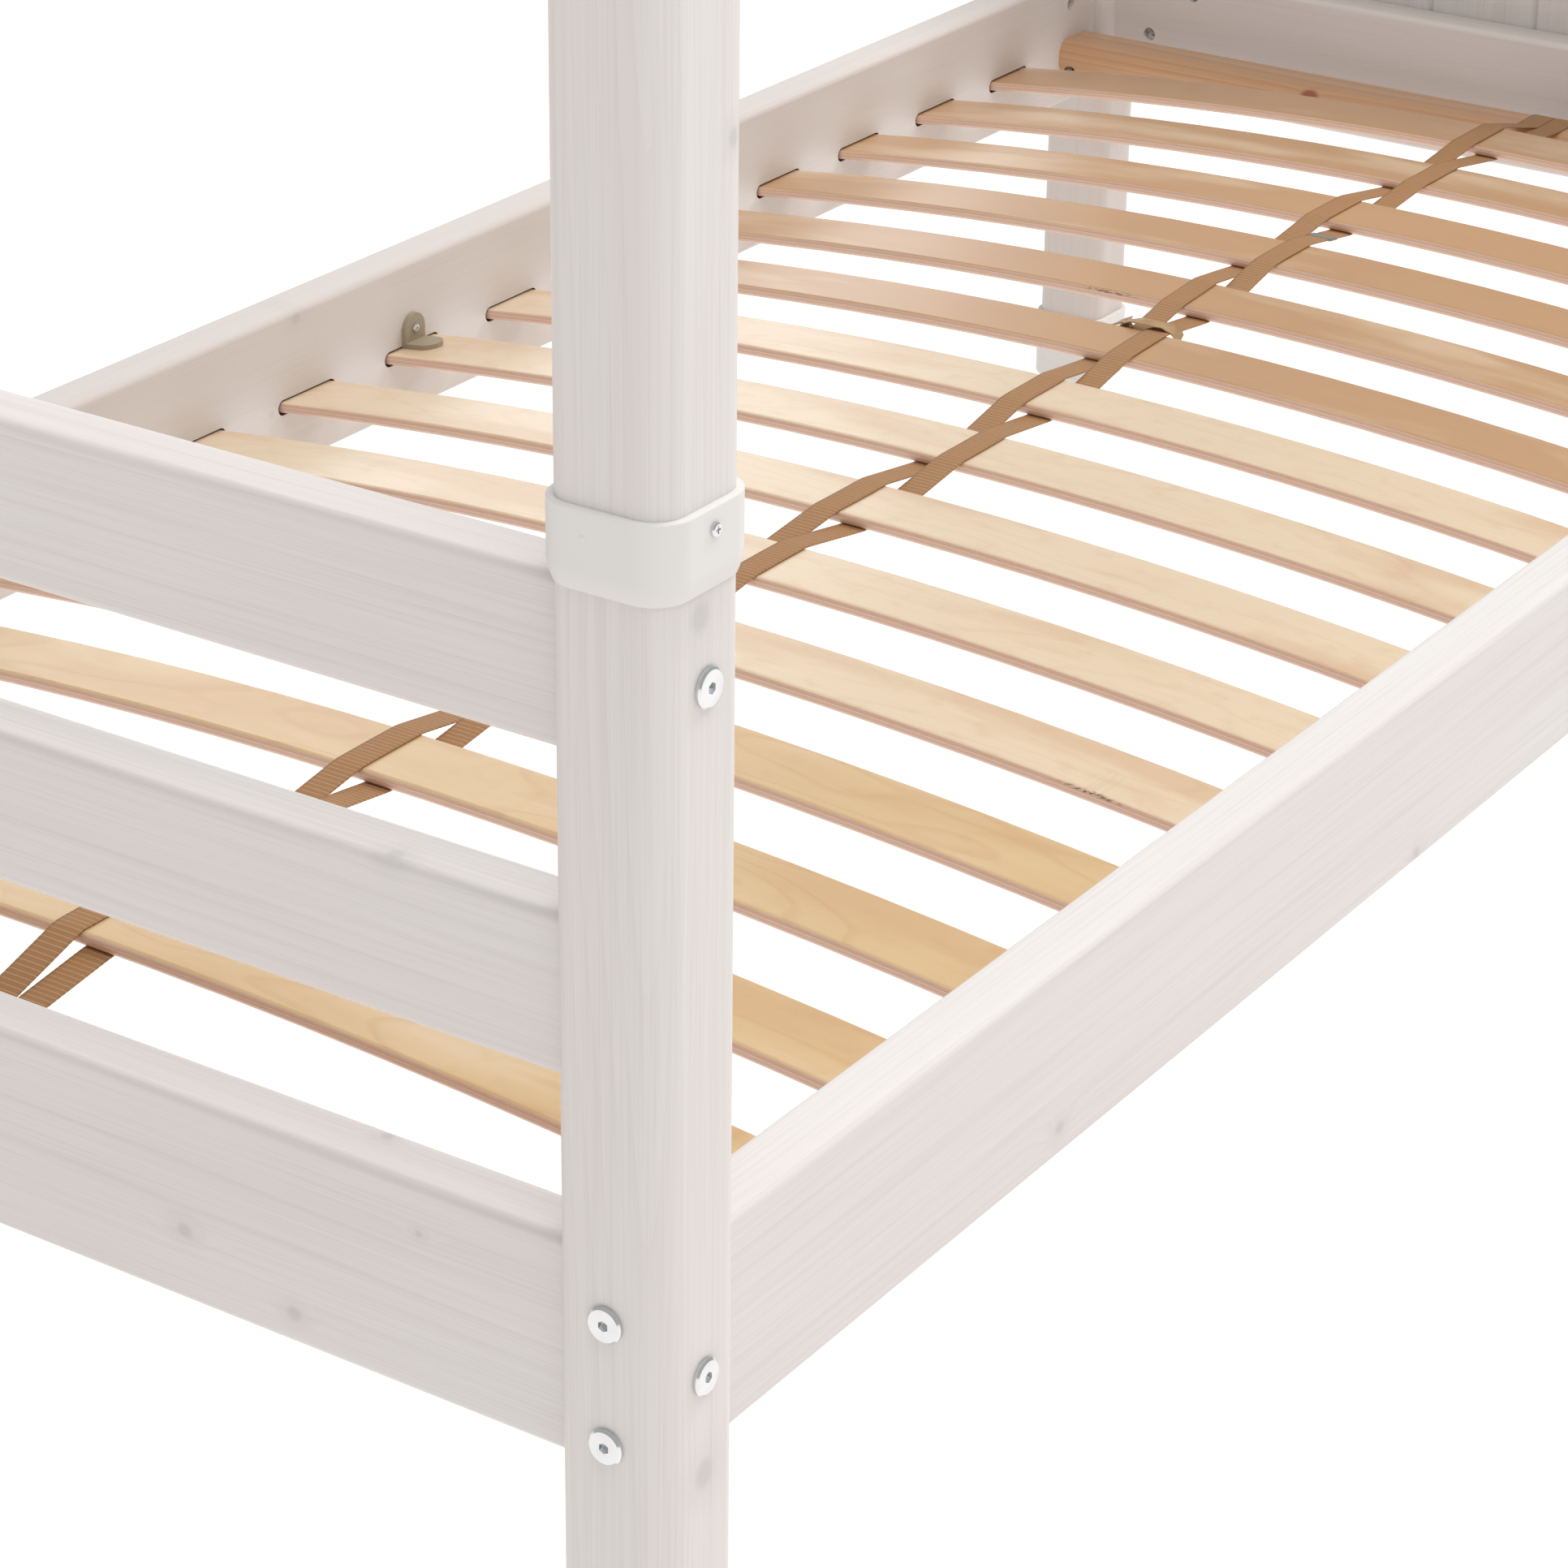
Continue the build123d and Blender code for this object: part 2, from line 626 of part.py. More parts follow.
def write_all():
    """Build every piece, drill the timber and write one file for each node."""
    holes = [(hole, hole.bounding_box()) for hole in timber_cuts()]
    pieces = {}
    for group in (lower_posts(), upper_posts(), rafters(), end_planks(), side_rails(), roof_beams(),
                  strap_bars(), head_panel()):
        for name, timber in group.items():
            pieces[name] = drilled(timber, holes)
    pieces.update(foot_caps())
    screw_holes = [(hole, hole.bounding_box()) for hole in
                   [rod(f, d, small_screw_diameter, small_screw_length) for f, d in every_small_screw()]]
    for name, collar in collars().items():
        pieces[name] = drilled(collar, screw_holes)
    pieces.update(slats())
    pieces["slat_strap_a"] = strap(1)
    pieces["slat_strap_b"] = strap(-1)
    pieces["slat_clips"] = Compound([drilled(clip, screw_holes) for clip in slat_clips()])
    bolts = every_bolt()
    pieces["rail_bolts"] = Compound([bolt(b[1], b[2], bolt_length("rail")) for b in bolts if b[0] == "rail"])
    pieces["plank_bolts"] = Compound([bolt(b[1], b[2], bolt_length("plank")) for b in bolts if b[0] == "plank"])
    pieces["barrel_nuts"] = Compound([barrel_nut(b[3], b[4], b[2]) for b in bolts])
    pieces["dowels"] = Compound([centred_rod(m, d, dowel_diameter, dowel_length) for m, d in every_dowel()])
    pieces["joint_pins"] = Compound([centred_rod(m, d, pin_diameter, pin_length) for m, d in every_pin()])
    pieces["small_screws"] = Compound([
        screw(f, d, small_screw_diameter, small_screw_length, small_screw_head_diameter,
              small_screw_head_thickness) for f, d in every_small_screw()])
    pieces["bar_screws"] = Compound([
        screw(f, d, bar_screw_diameter, bar_screw_length, bar_screw_head_diameter,
              bar_screw_head_thickness) for f, d in every_bar_screw()])
    pieces["panel_screws"] = Compound([
        screw(f, d, panel_screw_diameter, panel_screw_length, panel_screw_head_diameter,
              small_screw_head_thickness) for f, d in every_panel_screw()])
    os.makedirs("parts", exist_ok=True)
    for name, piece in pieces.items():
        export_step(piece, f"parts/{name}.step")
    print(len(pieces), "nodes, bed", bed_length, "x", bed_width, "ridge", round(ridge_height))


write_all()
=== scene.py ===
"""A child's house bed in white-stained pine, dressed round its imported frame.

Metres, +Z up. The foot end is at -X, the head end at +X, the near side at -Y and the far side at +Y.
"""
from math import cos, pi, radians, sin, sqrt

import bpy
import numpy as np
from mathutils import Matrix, Vector


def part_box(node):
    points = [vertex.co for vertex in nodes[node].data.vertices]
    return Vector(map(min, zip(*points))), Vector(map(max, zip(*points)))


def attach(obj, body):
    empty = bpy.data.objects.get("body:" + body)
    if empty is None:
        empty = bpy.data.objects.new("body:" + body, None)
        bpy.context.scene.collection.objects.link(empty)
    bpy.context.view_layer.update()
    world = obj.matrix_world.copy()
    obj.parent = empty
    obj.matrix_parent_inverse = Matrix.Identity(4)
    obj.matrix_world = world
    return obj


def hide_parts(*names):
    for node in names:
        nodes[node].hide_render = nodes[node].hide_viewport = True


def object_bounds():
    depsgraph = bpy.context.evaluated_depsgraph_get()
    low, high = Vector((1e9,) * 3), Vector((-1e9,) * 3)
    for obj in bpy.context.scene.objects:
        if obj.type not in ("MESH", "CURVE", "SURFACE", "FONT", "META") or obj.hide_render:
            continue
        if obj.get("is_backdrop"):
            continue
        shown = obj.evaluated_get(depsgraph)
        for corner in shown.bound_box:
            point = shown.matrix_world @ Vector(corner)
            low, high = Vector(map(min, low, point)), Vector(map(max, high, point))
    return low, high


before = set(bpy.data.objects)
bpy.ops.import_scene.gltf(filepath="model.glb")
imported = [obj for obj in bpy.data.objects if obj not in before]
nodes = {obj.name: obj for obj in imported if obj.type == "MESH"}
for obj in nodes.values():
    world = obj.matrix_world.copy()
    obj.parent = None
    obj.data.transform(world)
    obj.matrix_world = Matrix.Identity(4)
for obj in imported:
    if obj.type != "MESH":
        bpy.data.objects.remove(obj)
cad_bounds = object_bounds()
MM = 0.001
CORNERS = ("foot_near", "foot_far", "head_near", "head_far")
SLAT_COUNT = 15
SLAT_NAMES = [f"slat_{i + 1:02d}" for i in range(SLAT_COUNT)]


def plain(value):
    """Vectors and nested lists as plain lists of numbers."""
    if hasattr(value, "__len__"):
        return [plain(v) for v in value]
    return float(value)


# Where the frame's pieces are, read once and used by pieces and paints alike.
rail_low, rail_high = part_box("side_rail_far")
slat_low, slat_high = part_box("slat_08")
bar_low, bar_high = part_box("strap_bar_head")
foot_bar_low, foot_bar_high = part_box("strap_bar_foot")
slat_middles = [(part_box(n)[0].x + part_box(n)[1].x) / 2 for n in SLAT_NAMES]
slat_width = slat_high.x - slat_low.x
slat_thickness = 8 * MM
rail_inner_y = rail_low.y


def bow_of_slats():
    """The outer radius and centre height of the slats' bow, from the crown and the ends of a slat's box.

    An end's top corner is on the outer arc, a slat's thickness above the box's lowest point.
    """
    half_span = (slat_high.y - slat_low.y) / 2
    rise = slat_high.z - slat_low.z - slat_thickness
    radius = (half_span ** 2 + rise ** 2) / (2 * rise)
    return radius, slat_high.z - radius


bow_radius, bow_centre_z = bow_of_slats()


# Shader maths


class Value:
    """A shader socket in an expression. Each operator adds one Math node."""

    def __init__(self, paint, socket):
        self.paint = paint
        self.socket = socket

    def math(self, operation, *others):
        return self.paint.math(operation, self, *others)

    def __add__(self, other):
        return self.math("ADD", other)

    __radd__ = __add__

    def __sub__(self, other):
        return self.math("SUBTRACT", other)

    def __rsub__(self, other):
        return self.paint.math("SUBTRACT", other, self)

    def __mul__(self, other):
        return self.math("MULTIPLY", other)

    __rmul__ = __mul__

    def __truediv__(self, other):
        return self.math("DIVIDE", other)

    def __rtruediv__(self, other):
        return self.paint.math("DIVIDE", other, self)

    def __pow__(self, other):
        return self.math("POWER", other)

    def fract(self):
        return self.math("FRACT")

    def floor(self):
        return self.math("FLOOR")

    def root(self):
        return self.math("SQRT")

    def size(self):
        return self.math("ABSOLUTE")

    def above(self, other):
        return self.math("GREATER_THAN", other)

    def below(self, other):
        return self.math("LESS_THAN", other)

    def ramp(self, start, end):
        """0 at start, 1 at end, smooth between. start may be the larger one."""
        settings = {"interpolation_type": "SMOOTHSTEP"}
        if start < end:
            return self.paint.node("MapRange", settings, {0: self, 1: start, 2: end})
        return 1 - self.paint.node("MapRange", settings, {0: self, 1: end, 2: start})


class Paint:
    """One finish: a Principled shader and the nodes that feed it."""

    def __init__(self, name, roughness=0.5, metallic=0.0, coat=0.0, coat_roughness=0.1):
        self.material = bpy.data.materials.new(name)
        self.material.use_nodes = True
        self.tree = self.material.node_tree
        self.shader = self.tree.nodes["Principled BSDF"]
        self.put("Roughness", roughness)
        self.put("Metallic", metallic)
        self.put("Coat Weight", coat)
        self.put("Coat Roughness", coat_roughness)
        self.object_place = None

    def feed(self, socket, value):
        if isinstance(value, Value):
            self.tree.links.new(value.socket, socket)
        else:
            socket.default_value = value

    def put(self, name, value):
        self.feed(self.shader.inputs[name], value)

    def node(self, kind, settings=None, values=None, output=0):
        node = self.tree.nodes.new("ShaderNode" + kind)
        for name, value in (settings or {}).items():
            setattr(node, name, value)
        for key, value in (values or {}).items():
            self.feed(node.inputs[key], value)
        return Value(self, node.outputs[output])

    def math(self, operation, *terms):
        return self.node("Math", {"operation": operation}, dict(enumerate(terms)))

    def mix(self, factor, first, second):
        """The second colour over the first, by a factor."""
        values = {0: factor, 6: self.colour(first), 7: self.colour(second)}
        return self.node("Mix", {"data_type": "RGBA"}, values, output=2)

    @staticmethod
    def colour(value):
        return value if isinstance(value, Value) else (*value, 1.0)

    def place(self):
        """The point on the piece, in the frame's metres."""
        if self.object_place is None:
            self.object_place = self.node("TexCoord", output=3)
        return self.object_place

    def along(self, direction):
        """How far the point lies along a direction."""
        terms = {0: self.place(), 1: direction}
        return self.node("VectorMath", {"operation": "DOT_PRODUCT"}, terms, output=1)

    def vector(self, x, y, z=0.0):
        return self.node("CombineXYZ", values={0: x, 1: y, 2: z})

    def noise(self, vector, scale=1.0, detail=2.0, roughness=0.5):
        values = {"Vector": vector, "Scale": scale, "Detail": detail, "Roughness": roughness}
        return self.node("TexNoise", values=values)

    def bump(self, height, distance, strength=1.0):
        """Relief from a height of 0 to 1 that stands for a real distance."""
        values = {"Height": height, "Distance": distance, "Strength": strength}
        self.put("Normal", self.node("Bump", values=values))


# Finishes

STAIN_PALE = (0.745, 0.722, 0.697)
STAIN_LATE_WOOD = (0.585, 0.530, 0.505)
STAIN_ROSY = (0.735, 0.665, 0.648)
# Darker, rosier stain for the boards that get less light: partly a deeper stain, partly painted shade.
STAIN_DEEP_AND_SHADE = (0.585, 0.515, 0.470)
STAIN_KNOT = (0.475, 0.465, 0.450)
SLOT_BROWN = (0.170, 0.100, 0.062)
RING_WIDTH = 3.4 * MM
FIBRE_ACROSS = 900.0
FIBRE_ALONG = 9.0
KNOT_PUSH = 0.0045
KNOT_REACH = 1.6


def distance_from(place, point, stretch=1.0):
    """The distance from a point, with the distance along the grain divided by stretch.

    The place and the point are along, across and, where the point gives it, depth.
    """
    total = ((place[0] - point[0]) / stretch) ** 2
    for here, there in zip(place[1:], point[1:]):
        total = total + (here - there) ** 2
    return total.root()


def pine_rings(paint, along, across, depth, seed, knots):
    """Growth rings: the distance from a pith line beside the board, divided by the ring's width.

    The pith wanders along the board, and rings are pushed aside round every knot.
    """
    rng = np.random.default_rng(seed)
    pith_across, pith_depth = rng.uniform(-0.02, 0.02), rng.uniform(0.05, 0.09)
    wander = paint.noise(paint.vector(along * 1.1, float(seed), depth * 3.0), detail=1.0) - 0.5
    ripple = paint.noise(paint.vector(along * 7.0, across * 30.0, float(seed)), detail=2.0) - 0.5
    side = across - pith_across + wander * 0.05
    back = depth - pith_depth + wander * 0.03
    radius = (side * side + back * back).root() + ripple * 0.0016
    for point, size in knots:
        near = distance_from((along, across, depth), point, 2.2) / (size * KNOT_REACH)
        radius = radius + KNOT_PUSH / (1 + near * near * near * near)
    return radius / RING_WIDTH


def stained_pine(name, along_axis, across_axis, depth_axis, seed, knots=(), slots=False, deep_stain_and_shade=0.0):
    """White-stained pine: pale stain over faint rings, rosy bands, fibres and grey knots.

    The last argument turns the whole stain rosier and darker: partly a deeper stain and partly painted shade
    on the boards at the head end and far side, where less light falls.
    """
    paint = Paint(name, roughness=0.46, coat=0.12, coat_roughness=0.32)
    along = paint.along(along_axis)
    across = paint.along(across_axis)
    depth = paint.along(depth_axis)
    rings = pine_rings(paint, along, across, depth, seed, knots)
    late = rings.fract() ** 2.6
    soft = paint.noise(paint.vector(along * 1.3, across * 9.0, depth * 9.0 + seed), detail=2.0)
    fibre_place = paint.vector(along * FIBRE_ALONG, across * FIBRE_ACROSS, depth * FIBRE_ACROSS)
    fibre = paint.noise(fibre_place, detail=1.0)
    streak = paint.noise(paint.vector(along * 2.2, across * 110.0, depth * 110.0 + seed), detail=3.0)
    hair = paint.noise(paint.vector(along * 5.0, across * 480.0, depth * 480.0 + seed), detail=2.0)
    colour = paint.mix(soft.ramp(0.38, 0.68) * 0.55, STAIN_PALE, STAIN_ROSY)
    colour = paint.mix(late * 0.26 * streak.ramp(0.25, 0.75), colour, STAIN_LATE_WOOD)
    colour = paint.mix(streak.ramp(0.5, 0.8) * 0.18, colour, STAIN_LATE_WOOD)
    colour = paint.mix(hair.ramp(0.48, 0.78) * 0.18, colour, STAIN_LATE_WOOD)
    colour = paint.mix(fibre.ramp(0.45, 0.75) * 0.22, colour, STAIN_LATE_WOOD)
    # Partly painted shade: the whole board is darkened towards this colour as if less light reached it, on
    # top of a deeper stain.
    colour = paint.mix(deep_stain_and_shade, colour, STAIN_DEEP_AND_SHADE)
    for point, size in knots:
        near = distance_from((along, across, depth), point, 1.15)
        ragged = near + (streak - 0.5) * size * 0.5
        colour = paint.mix(ragged.ramp(size * 1.15, size * 0.35) * 0.48, colour, STAIN_KNOT)
        colour = paint.mix(near.ramp(size * 3.2, size * 0.8) * 0.16, colour, STAIN_KNOT)
    if slots:
        colour = paint.mix(slot_mask(paint), colour, SLOT_BROWN)
    paint.put("Base Color", colour)
    paint.put("Roughness", 0.42 + streak * 0.12)
    paint.bump(late * 0.5 + fibre * 0.5, 0.09 * MM, 0.5)
    return paint.material


def slot_mask(paint):
    """1 on the walls of the slots, which lie inside the rail's thickness in the band of the slots."""
    inside = (paint.along((0, 1, 0)).size() - rail_inner_y).ramp(0.1 * MM, 0.5 * MM)
    slot_middle = slat_low.z + slat_thickness / 2 + 2 * MM
    band = (paint.along((0, 0, 1)) - slot_middle).size().ramp(8.5 * MM, 8 * MM)
    shell = (paint.along((0, 1, 0)).size() - rail_high.y).size().ramp(0.5 * MM, 1.5 * MM)
    return inside * band * shell


# Pale veneer colour; on the middle slats it also stands for painted sheen.
BIRCH_PALE_AND_SHEEN = (0.715, 0.560, 0.385)
BIRCH_TAN = (0.470, 0.262, 0.118)
BIRCH_GOLD = (0.620, 0.430, 0.215)
BIRCH_LINE = (0.520, 0.285, 0.125)
BIRCH_STREAK = (0.10, 0.045, 0.025)
PLY_PALE = (0.710, 0.500, 0.380)
PLY_RED = (0.480, 0.255, 0.155)
PLY_COUNT = 6


def birch_ply(name, face, seed, line_strength, streak_at=None):
    """Lacquered bent birch plywood: a flat-cut veneer on top and the plies' lines in the long edges.

    A dark streak lies on the foot-side edge where streak_at, a place along and across the bed, says.
    """
    paint = Paint(name, roughness=0.42, coat=0.9, coat_roughness=0.22)
    x = paint.along((1, 0, 0))
    y = paint.along((0, 1, 0))
    z = paint.along((0, 0, 1))
    bow = (bow_radius ** 2 - y * y).root() + bow_centre_z
    depth = (bow - z) / slat_thickness
    wander = paint.noise(paint.vector(x * 9.0 + seed, y * 2.6, float(seed)), detail=2.0)
    contour = (wander * 13.0).fract()
    line = contour.ramp(0.0, 0.10) * contour.ramp(0.34, 0.12)
    fibre = paint.noise(paint.vector(x * 700.0, y * 11.0, float(seed)), detail=2.0)
    cloud = paint.noise(paint.vector(x * 16.0 + seed, y * 3.5, 2.0), detail=3.0)
    fleck = paint.noise(paint.vector(x * 70.0, y * 45.0, float(seed)), detail=3.0)
    colour = paint.mix(cloud.ramp(0.52, 0.36) * 0.40, face, BIRCH_LINE)
    colour = paint.mix(cloud.ramp(0.50, 0.70) * 0.55, colour, BIRCH_PALE_AND_SHEEN)
    colour = paint.mix(fleck.ramp(0.52, 0.72) * 0.16, colour, BIRCH_LINE)
    colour = paint.mix(line * line_strength, colour, BIRCH_LINE)
    colour = paint.mix(fibre.ramp(0.45, 0.85) * 0.16, colour, BIRCH_LINE)
    plies = (depth * PLY_COUNT).fract()
    glue = plies.ramp(0.55, 0.85) * plies.ramp(1.0, 0.9)
    turn = (depth * PLY_COUNT).floor() * 0.5
    end_grain = turn.fract().above(0.25)
    edge = paint.mix(end_grain * 0.35, PLY_PALE, PLY_RED)
    edge = paint.mix(glue * 0.55, edge, PLY_RED)
    grain = paint.noise(paint.vector(y * 160.0, z * 2500.0, x * 40.0 + seed), detail=2.0)
    edge = paint.mix(grain.ramp(0.4, 0.8) * 0.3, edge, PLY_RED)
    inner = depth.ramp(0.06, 0.12) * depth.ramp(0.96, 0.90)
    colour = paint.mix(inner, colour, edge)
    if streak_at is not None:
        near = distance_from((y, depth * slat_thickness), (streak_at[1], 1.4 * MM), 20.0)
        speck = paint.noise(paint.vector(y * 240.0, z * 900.0, x * 30.0), detail=3.0)
        dark = near.ramp(1.5 * MM, 0.3 * MM) * speck.ramp(0.46, 0.58)
        side = (x - streak_at[0]).below(0)
        colour = paint.mix(dark * side * 0.85, colour, BIRCH_STREAK)
    paint.put("Base Color", colour)
    paint.bump(fibre, 0.05 * MM, 0.35)
    return paint.material


BAR_WOOD = (0.53, 0.31, 0.165)
BAR_LATE_WOOD = (0.37, 0.155, 0.062)
BAR_KNOT = (0.22, 0.045, 0.018)
KNOT_ON_BAR = (0.205, 0.929, 0.338)
KNOT_ON_BAR_SIZE = 8 * MM
BAR_RING_WIDTH = 6.0 * MM


def bar_pine():
    """Lacquered pine of the strap bars, with rings along the bar and one red-brown knot."""
    paint = Paint("natural_pine", roughness=0.4, coat=0.6, coat_roughness=0.25)
    y = paint.along((0, 1, 0))
    x = paint.along((1, 0, 0)).size()
    z = paint.along((0, 0, 1))
    wander = paint.noise(paint.vector(y * 1.7, 3.0, 0.0), detail=1.0) - 0.5
    near = distance_from((y, x, z), KNOT_ON_BAR, 1.4) / KNOT_ON_BAR_SIZE
    radius = ((x - 0.93 + wander * 0.03) ** 2.0 + (z - 0.27) ** 2.0).root() + 0.004 / (1 + near * near)
    late = (radius / BAR_RING_WIDTH).fract() ** 2.0
    fibre = paint.noise(paint.vector(x * 800.0, y * 10.0, z * 800.0), detail=2.0)
    colour = paint.mix(late * 0.42, BAR_WOOD, BAR_LATE_WOOD)
    colour = paint.mix(fibre.ramp(0.4, 0.8) * 0.25, colour, BAR_LATE_WOOD)
    colour = paint.mix(near.ramp(1.0, 0.4) * 0.85, colour, BAR_KNOT)
    paint.put("Base Color", colour)
    paint.bump(late * 0.5 + fibre * 0.5, 0.08 * MM, 0.4)
    return paint.material


def white_plastic():
    """Fine satin moulding in warm white."""
    paint = Paint("white_moulding", roughness=0.42, coat=0.15, coat_roughness=0.3)
    grit = paint.noise(paint.place(), scale=900.0, detail=2.0)
    cloud = paint.noise(paint.place(), scale=14.0, detail=2.0)
    colour = paint.mix(cloud.ramp(0.3, 0.75) * 0.35, (0.750, 0.738, 0.712), (0.715, 0.703, 0.678))
    paint.put("Base Color", colour)
    paint.put("Roughness", 0.38 + grit * 0.12)
    paint.bump(grit, 0.04 * MM, 0.3)
    return paint.material


def clip_plastic():
    """Grey-beige moulding with a fine grit."""
    paint = Paint("clip_moulding", roughness=0.4, coat=0.1, coat_roughness=0.3)
    grit = paint.noise(paint.place(), scale=700.0, detail=2.0)
    colour = paint.mix(grit.ramp(0.3, 0.8) * 0.35, (0.345, 0.285, 0.200), (0.270, 0.222, 0.155))
    paint.put("Base Color", colour)
    paint.put("Roughness", 0.36 + grit * 0.16)
    paint.bump(grit, 0.05 * MM, 0.4)
    return paint.material


def zinc(name, bright, dull):
    """Zinc plate: metal with faint clouds and fine scratches."""
    paint = Paint(name, roughness=0.25, metallic=1.0)
    cloud = paint.noise(paint.place(), scale=90.0, detail=2.0)
    scratch = paint.noise(paint.vector(paint.along((1, 0, 0)) * 300.0, paint.along((0, 1, 0)) * 300.0,
                                       paint.along((0, 0, 1)) * 6000.0), detail=2.0)
    colour = paint.mix(cloud.ramp(0.35, 0.7), bright, dull)
    paint.put("Base Color", colour)
    paint.put("Roughness", 0.10 + cloud * 0.10 + scratch * 0.06)
    return paint.material


def beech():
    """Bare beech of the dowels and pins, with flecks along them."""
    paint = Paint("beech", roughness=0.6)
    fleck = paint.noise(paint.place(), scale=420.0, detail=3.0)
    paint.put("Base Color", paint.mix(fleck.ramp(0.35, 0.75), (0.56, 0.39, 0.22), (0.44, 0.28, 0.15)))
    paint.bump(fleck, 0.05 * MM, 0.4)
    return paint.material


RIB_PITCH = 3.8 * MM
THREAD_PITCH = 1.05 * MM
WEB_TAN = (0.365, 0.190, 0.083)
WEB_SHADE = (0.260, 0.128, 0.055)
WEB_BRIGHT = (0.640, 0.450, 0.270)


def webbing():
    """Ribbed webbing, on its own UV map in metres: u across, v along.

    Each rib is a row of lengthwise threads, and a bright weft line lies between two ribs.
    """
    paint = Paint("webbing", roughness=0.62)
    uv = paint.node("UVMap", {"uv_map": "weave"})
    u = paint.node("SeparateXYZ", values={0: uv}, output=0)
    v = paint.node("SeparateXYZ", values={0: uv}, output=1)
    rib = (v / RIB_PITCH).fract()
    weft = (rib - 0.5).size().ramp(0.40, 0.48)
    stagger = (v / RIB_PITCH).floor() * 0.5
    thread = (u / THREAD_PITCH + stagger).fract()
    groove = (thread - 0.5).size().ramp(0.26, 0.44)
    fuzz = paint.noise(paint.vector(u * 2600.0, v * 700.0), detail=2.0)
    colour = paint.mix(groove * 0.62, WEB_TAN, WEB_SHADE)
    colour = paint.mix(weft * 0.6, colour, WEB_BRIGHT)
    colour = paint.mix(fuzz.ramp(0.35, 0.8) * 0.25, colour, WEB_SHADE)
    paint.put("Base Color", colour)
    paint.bump((1 - groove) * (1 - weft) * 0.7 + weft * 0.9 + fuzz * 0.1, 0.25 * MM, 0.6)
    return paint.material


def packing_tape():
    """Crinkled tan tape with a satin shine."""
    paint = Paint("tan_tape", roughness=0.38, coat=0.12, coat_roughness=0.2)
    crinkle = paint.noise(paint.place(), scale=90.0, detail=4.0, roughness=0.6)
    cloud = paint.noise(paint.place(), scale=40.0, detail=2.0)
    colour = paint.mix(cloud.ramp(0.3, 0.7), (0.470, 0.310, 0.155), (0.330, 0.200, 0.090))
    paint.put("Base Color", colour)
    paint.bump(crinkle, 1.2 * MM, 0.8)
    return paint.material


def grey_band():
    """The small woven grey band on a strap."""
    paint = Paint("grey_band", roughness=0.7)
    weave = paint.noise(paint.place(), scale=900.0, detail=2.0)
    paint.put("Base Color", paint.mix(weave.ramp(0.3, 0.7), (0.245, 0.235, 0.215), (0.185, 0.178, 0.160)))
    paint.bump(weave, 0.1 * MM, 0.4)
    return paint.material


# Finishes on the frame's own pieces

ALONG_X = ((1, 0, 0), (0, 0, 1), (0, 1, 0))
ALONG_Y = ((0, 1, 0), (0, 0, 1), (1, 0, 0))
UPRIGHT = ((0, 0, 1), (0, 1, 0), (1, 0, 0))
SLOPE = sqrt(0.5)
RISING_FAR = ((0, SLOPE, SLOPE), (1, 0, 0), (0, -SLOPE, SLOPE))
RISING_NEAR = ((0, -SLOPE, SLOPE), (1, 0, 0), (0, SLOPE, SLOPE))


def wear(node, material):
    """A finish on a node of the frame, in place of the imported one."""
    mesh = nodes[node].data
    mesh.materials.clear()
    mesh.materials.append(material)


def wild_knots(seed, along_low, along_high, across_low, across_high, count):
    """Knots at seeded places inside a board's face."""
    rng = np.random.default_rng(seed)
    along = np.linspace(along_low, along_high, count + 2)[1:-1] + rng.uniform(-0.08, 0.08, count)
    across = rng.uniform(across_low, across_high, count)
    sizes = rng.uniform(3.5 * MM, 7.5 * MM, count)
    return [((float(a), float(c)), float(s)) for a, c, s in zip(along, across, sizes)]


def paint_posts():
    """Posts, upper posts and rafters, each with its own rings and a few knots."""
    near_knots = [((0.716, -0.5025, -1.025), 8 * MM), ((0.2885, -0.5025, -1.019), 8 * MM)]
    near_upper_knots = [((0.916, -0.5025, -1.002), 4.5 * MM)]
    for i, corner in enumerate(CORNERS):
        low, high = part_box("post_" + corner)
        here = corner == "foot_near"
        knots = near_knots if here else wild_knots(40 + i, 0.1, 0.7, low.y, high.y, 3)
        # The head-far post is darkened: partly a deeper stain, partly painted shade.
        deep_stain_and_shade = 0.6 if corner == "head_far" else 0.0
        wear("post_" + corner,
             stained_pine("pine_post_" + corner, *UPRIGHT, seed=11 + i, knots=knots, deep_stain_and_shade=deep_stain_and_shade))
        knots = near_upper_knots if here else wild_knots(60 + i, high.z, 1.4, low.y, high.y, 2)
        wear("upper_post_" + corner, stained_pine("pine_upper_" + corner, *UPRIGHT, seed=21 + i, knots=knots))
        axes = RISING_NEAR if corner.endswith("far") else RISING_FAR
        wear("rafter_" + corner, stained_pine("pine_rafter_" + corner, *axes, seed=31 + i))


